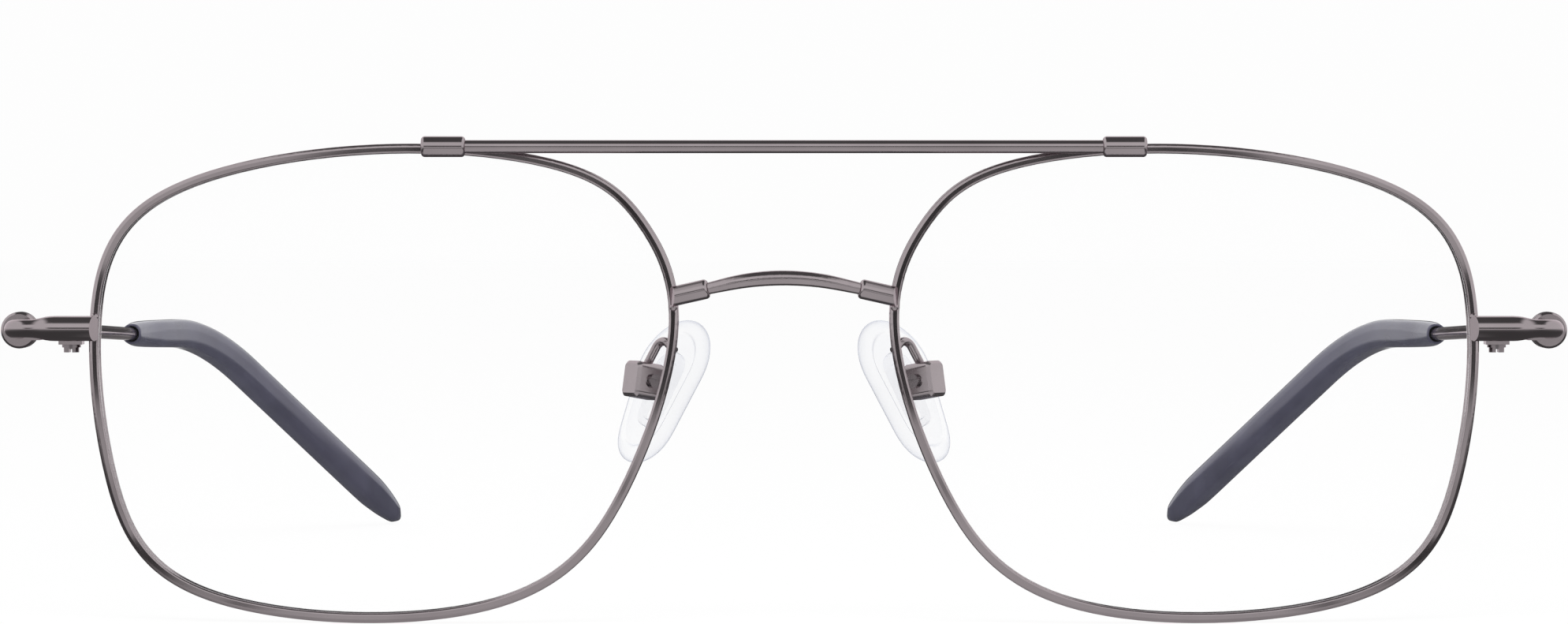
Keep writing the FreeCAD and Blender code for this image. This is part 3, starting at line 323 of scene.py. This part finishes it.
def make_pad(side):
    """Soft clear drop: a crowned face to the nose, a flatter sunk one to the box, and full round edges."""
    outline = drop_outline(PAD_LENGTH, PAD_TOP, PAD_BOTTOM, PAD_POINTS)
    nose_side = [(share, 1) for share in reversed(PAD_RINGS)]
    box_side = [(share, -1) for share in PAD_RINGS]
    mesh = bmesh.new()
    rings = []
    for share, way in nose_side + [(1.0, 0)] + box_side:
        depth = pad_depth(share, way)
        rings.append([mesh.verts.new((point.x * share, depth, point.y * share)) for point in outline])
    join_rings(mesh, rings)
    for ring, way in ((rings[0], 1), (rings[-1], -1)):
        middle = mesh.verts.new((0, pad_depth(0, way), 0))
        for vertex, following in zip(ring, ring[1:] + ring[:1]):
            mesh.faces.new((vertex, following, middle))
    mesh.transform(pad_place(side) @ Matrix.Translation(PAD_MIDDLE))
    piece = smooth_piece("soft_pad_" + side, mesh, silicone)
    rounder = piece.modifiers.new("rounder", "SUBSURF")
    rounder.levels = 1
    rounder.render_levels = 2
    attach(piece, "pad_" + side)
    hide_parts("nose_pad_" + side)


for side in SIDES:
    make_pad(side)


# Temple tips

# Front of the left temple's butt.
BUTT_START = Vector((0.07110, -0.059639, 0.026445))
# Corners of the temple wire in millimetres from there: inwards, back, share of its height and bend radius.
TEMPLE_CORNERS = [(0.0, 8.4, 1.0, 60.0), (0.85, 73.0, 0.9155, 38.0), (5.92, 94.5, 0.9, 36.0),
                  (24.8, 132.6, 0.0263, 0.0)]
BEND_STEPS = 24
TIP_LENGTH = 0.072
# Height and thickness of the tip in millimetres, at shares of its length.
TIP_STATIONS = [(0.0, 2.0, 1.95), (0.02, 2.62, 2.2), (0.06, 2.84, 2.38), (0.12, 2.97, 2.45),
                (0.3, 3.26, 2.5), (0.45, 3.34, 2.55), (0.6, 3.36, 2.55), (0.75, 3.44, 2.52),
                (0.88, 3.52, 2.45), (0.93, 3.42, 2.32), (0.965, 2.95, 1.95), (0.985, 2.3, 1.5),
                (1.0, 0.9, 0.6)]
TIP_STEPS = 120
EASING_TURNS = 12
# Bore at the mouth in millimetres, from its floor out: depth and diameter.
TIP_BORE = [(4.0, 1.42), (1.2, 1.46), (0.3, 1.60)]
# Height, thickness in millimetres and roundness of the lip where the bore comes out.
TIP_LIP = (1.72, 1.70, 0.9)
# The skin starts this far before the lip, in metres, so that the two rings don't meet.
LIP_STEP = 0.00001
SECTION_POINTS = 32
# Roundness of the tip's section, where 1 is an ellipse, and the shares of its length over which it changes.
MOUTH_ROUNDNESS = 0.85
BODY_ROUNDNESS = 0.45
END_ROUNDNESS = 0.9
MOUTH_SHARE = 0.125
END_SHARE = 0.1


def temple_line():
    """Closely spaced points along the middle of the left temple wire, with its round bends."""
    points = [BUTT_START]
    radii = [0.0]
    for inwards, behind, height, radius in TEMPLE_CORNERS:
        points.append(Vector((BUTT_START.x - inwards / MM_PER_METRE, BUTT_START.y + behind / MM_PER_METRE,
                              BUTT_START.z * height)))
        radii.append(radius / MM_PER_METRE)
    line = [points[0]]
    for index in range(1, len(points) - 1):
        corner = points[index]
        before = (points[index - 1] - corner).normalized()
        after = (points[index + 1] - corner).normalized()
        half = before.angle(after) / 2
        centre = corner + (before + after).normalized() * (radii[index] / math.sin(half))
        start = corner + before * (radii[index] / math.tan(half)) - centre
        end = corner + after * (radii[index] / math.tan(half)) - centre
        for step in range(BEND_STEPS + 1):
            line.append(centre + start.lerp(end, step / BEND_STEPS).normalized() * radii[index])
    line.append(points[-1])
    return line


def along_line(line, distance):
    """Point and direction at a distance before the end of a line."""
    for last, first in zip(reversed(line), reversed(line[:-1])):
        step = (last - first).length
        if distance <= step:
            return last.lerp(first, distance / step), (last - first).normalized()
        distance -= step


def tip_sizes():
    """Height and thickness at evenly spaced places, eased so that no station shows."""
    sizes = []
    for step in range(TIP_STEPS + 1):
        share = step / TIP_STEPS
        for first, second in zip(TIP_STATIONS, TIP_STATIONS[1:]):
            if share <= second[0]:
                between = (share - first[0]) / (second[0] - first[0])
                sizes.append([a + (b - a) * between for a, b in zip(first[1:], second[1:])])
                break
    # The first and the last four places keep their sizes, so the mouth and the end stay as they are.
    for _ in range(EASING_TURNS):
        eased = [[(before[k] + 2 * here[k] + after[k]) / 4 for k in range(2)]
                 for before, here, after in zip(sizes, sizes[1:], sizes[2:])]
        sizes = sizes[:1] + eased[:-3] + sizes[-4:]
    return sizes


def tip_roundness(share):
    """Roundness of the section at a share of the tip's length."""
    opening = (MOUTH_ROUNDNESS - BODY_ROUNDNESS) * min(share / MOUTH_SHARE, 1)
    closing = (END_ROUNDNESS - BODY_ROUNDNESS) * max(share - (1 - END_SHARE), 0) / END_SHARE
    return MOUTH_ROUNDNESS - opening + closing


def round_section(place, along, tall, thick, roundness):
    """Ring of a rectangle with round corners, square to the line. Its size is in millimetres."""
    side = along.cross(Vector((0, 0, 1))).normalized()
    rise = side.cross(along)
    half_tall = tall / MM_PER_METRE / 2
    half_thick = thick / MM_PER_METRE / 2
    power = 2 / roundness
    ring = []
    for step in range(SECTION_POINTS):
        turn = 2 * math.pi * (step + 0.5) / SECTION_POINTS
        aim = Vector((math.cos(turn), math.sin(turn)))
        reach = (abs(aim.x) ** power + abs(aim.y) ** power) ** (-1 / power)
        ring.append(place + side * (aim.x * reach * half_thick) + rise * (aim.y * reach * half_tall))
    return ring


def make_tip(side):
    """Plastic sleeve over the end of the temple wire, hollow at its mouth."""
    line = temple_line()
    sections = [(TIP_LENGTH - deep / MM_PER_METRE, wide, wide, 1.0) for deep, wide in TIP_BORE]
    sections.append((TIP_LENGTH, *TIP_LIP))
    for step, (tall, thick) in enumerate(tip_sizes()):
        share = step / TIP_STEPS
        sections.append((TIP_LENGTH * (1 - share) + LIP_STEP, tall, thick, tip_roundness(share)))
    mesh = bmesh.new()
    rings = [[mesh.verts.new(point) for point in round_section(*along_line(line, distance), *shape)]
             for distance, *shape in sections]
    join_rings(mesh, rings)
    mesh.faces.new(rings[0])
    mesh.faces.new(rings[-1])
    if side == "right":
        mesh.transform(MIRROR)
    piece = smooth_piece("tip_" + side, mesh, tips)
    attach(piece, "temple_" + side)
    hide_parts("temple_tip_" + side)


for side in SIDES:
    make_tip(side)


# Floor

FLOOR_REACH = 3.0
# Glow of the floor for the eye, and its share; the rest is the lit floor, which keeps a faint shadow.
FLOOR_GLOW = 1.009
GLOW_SHARE = 0.93
# Light patch of floor that reflections see under and before the glasses. It fades out over these
# spans: to each side, towards the temples and towards the camera.
PATCH_LEVEL = 0.85
PATCH_SIDES = (0.05, 0.075)
PATCH_BACK = (-0.075, -0.06)
PATCH_FRONT = (-0.25, -0.15)
# The rest of the floor is dark near the glasses and light far off.
NEAR_FAR = (0.12, 0.35)
NEAR_LEVEL = 0.12
FAR_LEVEL = 0.85


def mirrored_floor(tree):
    """Level of light that the floor shows in reflections, by its place round the glasses."""
    place = add(tree, "ShaderNodeTexCoord")
    reach = add(tree, "ShaderNodeVectorMath", operation="LENGTH")
    tree.links.new(place.outputs["Object"], reach.inputs[0])
    parts = add(tree, "ShaderNodeSeparateXYZ")
    tree.links.new(place.outputs["Object"], parts.inputs[0])
    aside = math_node(tree, "ABSOLUTE", parts.outputs["X"])
    patch = smooth_range(tree, aside, *PATCH_SIDES, PATCH_LEVEL, 0.0)
    back = smooth_range(tree, parts.outputs["Y"], *PATCH_BACK, 1.0, 0.0)
    front = smooth_range(tree, parts.outputs["Y"], *PATCH_FRONT)
    patch = math_node(tree, "MULTIPLY", patch, math_node(tree, "MULTIPLY", back, front))
    around = smooth_range(tree, reach.outputs["Value"], *NEAR_FAR, NEAR_LEVEL, FAR_LEVEL)
    return math_node(tree, "MAXIMUM", patch, around)


def floor_material():
    """White to the eye, with a faint shadow. Reflections see a darker floor with a light patch."""
    material, tree, shader = new_material("stage")
    tree.nodes.remove(shader)
    diffuse = add(tree, "ShaderNodeBsdfDiffuse")
    tree.links.new(patchy_colour(tree, noise(tree, 4.0), (0.86, 0.86, 0.86), (0.88, 0.88, 0.88)),
                   diffuse.inputs["Color"])
    glow = add(tree, "ShaderNodeEmission")
    glow.inputs["Color"].default_value = (1, 1, 1, 1)
    glow.inputs["Strength"].default_value = FLOOR_GLOW
    path = add(tree, "ShaderNodeLightPath")
    mix = add(tree, "ShaderNodeMixShader")
    tree.links.new(math_node(tree, "MULTIPLY", path.outputs["Is Camera Ray"], GLOW_SHARE), mix.inputs[0])
    tree.links.new(diffuse.outputs[0], mix.inputs[1])
    tree.links.new(glow.outputs[0], mix.inputs[2])
    reflection = add(tree, "ShaderNodeEmission")
    tree.links.new(mirrored_floor(tree), reflection.inputs["Strength"])
    both = add(tree, "ShaderNodeMixShader")
    tree.links.new(path.outputs["Is Glossy Ray"], both.inputs[0])
    tree.links.new(mix.outputs[0], both.inputs[1])
    tree.links.new(reflection.outputs[0], both.inputs[2])
    tree.links.new(both.outputs[0], tree.nodes["Material Output"].inputs["Surface"])
    return material


def make_floor():
    mesh = bpy.data.meshes.new("floor")
    corners = [(FLOOR_REACH * x, FLOOR_REACH * y, 0) for x, y in ((-1, -1), (1, -1), (1, 1), (-1, 1))]
    mesh.from_pydata(corners, [], [(0, 1, 2, 3)])
    floor = bpy.data.objects.new("floor", mesh)
    bpy.context.scene.collection.objects.link(floor)
    floor.data.materials.append(floor_material())


# World, lamp and camera

BACKDROP_COLOUR = (0.985, 0.985, 0.985, 1)
# Directions, as parts of a unit vector, over which the studio seen in reflections changes: from a dark
# band at eye level to the soft panels, from the panels to a dim top, and to the light at the sides.
PANEL_SPAN = (0.09, 0.24)
TOP_SPAN = (0.6, 0.88)
TOP_DIMMING = 0.85
SIDE_SPAN = (0.22, 0.5)
FLAG_LEVEL = 0.08
PANEL_LEVEL = 1.15
# Part of the backdrop's light that doesn't light matt surfaces.
DIFFUSE_DIMMING = 0.35

LAMP_PLACE = Vector((0.0, -0.35, 0.55))
LAMP_TARGET = Vector((0, 0, 0.02))
LAMP_WIDTH = 0.5
LAMP_HEIGHT = 0.25
LAMP_WATTS = 2.2

# The camera's place and aim were solved from how the rims and the temples converge in the photograph.
CAMERA_DISTANCE = 0.445
CAMERA_HEIGHT = 0.0377
CAMERA_DIP = 1.198
FOCAL_LENGTH = 112.96
SENSOR_WIDTH = 36.0
NEAR_CLIP = 0.01


def make_world():
    """White to the eye. Reflections see soft panels with darker flags between them."""
    world = bpy.data.worlds.new("studio")
    bpy.context.scene.world = world
    world.use_nodes = True
    tree = world.node_tree
    background = tree.nodes["Background"]
    place = add(tree, "ShaderNodeTexCoord")
    parts = add(tree, "ShaderNodeSeparateXYZ")
    tree.links.new(place.outputs["Generated"], parts.inputs[0])
    aside = math_node(tree, "ABSOLUTE", parts.outputs["X"])
    high = math_node(tree, "ABSOLUTE", parts.outputs["Z"])
    panel = smooth_range(tree, high, *PANEL_SPAN)
    top = smooth_range(tree, high, *TOP_SPAN, 0.0, TOP_DIMMING)
    sides = smooth_range(tree, aside, *SIDE_SPAN)
    studio = math_node(tree, "MAXIMUM", math_node(tree, "SUBTRACT", panel, top), sides)
    flags = smooth_range(tree, studio, 0.0, 1.0, FLAG_LEVEL, PANEL_LEVEL)
    path = add(tree, "ShaderNodeLightPath")
    mirrored = path.outputs["Is Glossy Ray"]
    dimming = math_node(tree, "MULTIPLY", path.outputs["Is Diffuse Ray"], DIFFUSE_DIMMING)
    level = math_node(tree, "SUBTRACT", math_node(tree, "SUBTRACT", 1.0, mirrored), dimming)
    level = math_node(tree, "ADD", level, math_node(tree, "MULTIPLY", flags, mirrored))
    background.inputs["Color"].default_value = BACKDROP_COLOUR
    tree.links.new(level, background.inputs["Strength"])


def make_lamp():
    """Soft lamp above and before the glasses, unseen in reflections."""
    light = bpy.data.lights.new("key", "AREA")
    light.shape = "RECTANGLE"
    light.size = LAMP_WIDTH
    light.size_y = LAMP_HEIGHT
    light.energy = LAMP_WATTS
    lamp = bpy.data.objects.new("key", light)
    lamp.location = LAMP_PLACE
    lamp.visible_glossy = False
    lamp.rotation_euler = (LAMP_TARGET - LAMP_PLACE).to_track_quat("-Z", "Y").to_euler()
    bpy.context.scene.collection.objects.link(lamp)


def make_camera():
    data = bpy.data.cameras.new("camera")
    data.lens = FOCAL_LENGTH
    data.sensor_width = SENSOR_WIDTH
    data.clip_start = NEAR_CLIP
    camera = bpy.data.objects.new("camera", data)
    camera.location = (0, APEX_Y - CAMERA_DISTANCE, CAMERA_HEIGHT)
    camera.rotation_euler = (math.radians(90 - CAMERA_DIP), 0, 0)
    bpy.context.scene.collection.objects.link(camera)
    bpy.context.scene.camera = camera


make_floor()
make_world()
make_camera()
make_lamp()
bpy.context.scene.view_settings.view_transform = "Standard"
